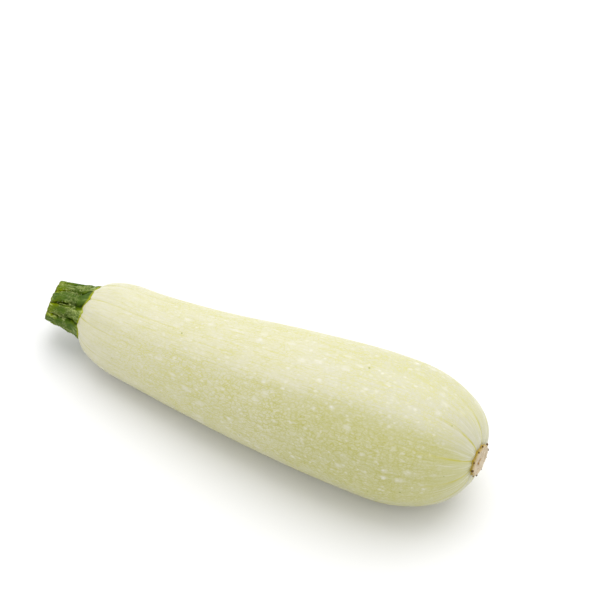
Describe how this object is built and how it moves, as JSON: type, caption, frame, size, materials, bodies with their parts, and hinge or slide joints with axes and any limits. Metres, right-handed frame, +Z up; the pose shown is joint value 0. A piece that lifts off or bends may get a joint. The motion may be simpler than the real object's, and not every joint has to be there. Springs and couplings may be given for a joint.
{
  "type": "courgette",
  "caption": "Pale green courgette lying on its side: a club-shaped fruit with a short ribbed stub of stem at one end and a dry blossom scar at the other.",
  "frame": {"origin": "middle of the footprint of the whole courgette, on the surface it lies on", "axes": "+X along the fruit from the stem to the blossom scar, +Y across it, +Z up from the surface it lies on"},
  "size_m": [0.2036, 0.0582, 0.0577],
  "materials": {
    "fruit_skin": "waxy satin skin, pale green with paler flecks and fine streaks along the fruit",
    "stem_rind": "fresh fibrous rind, dark green on the ridges and yellow-green between them",
    "scar_cork": "dry tan cork with brown dots at its rim"
  },
  "bodies": {
    "root": {"fruit": "fruit_skin", "stem": "stem_rind", "blossom_scar": "scar_cork"}
  },
  "joints": []
}
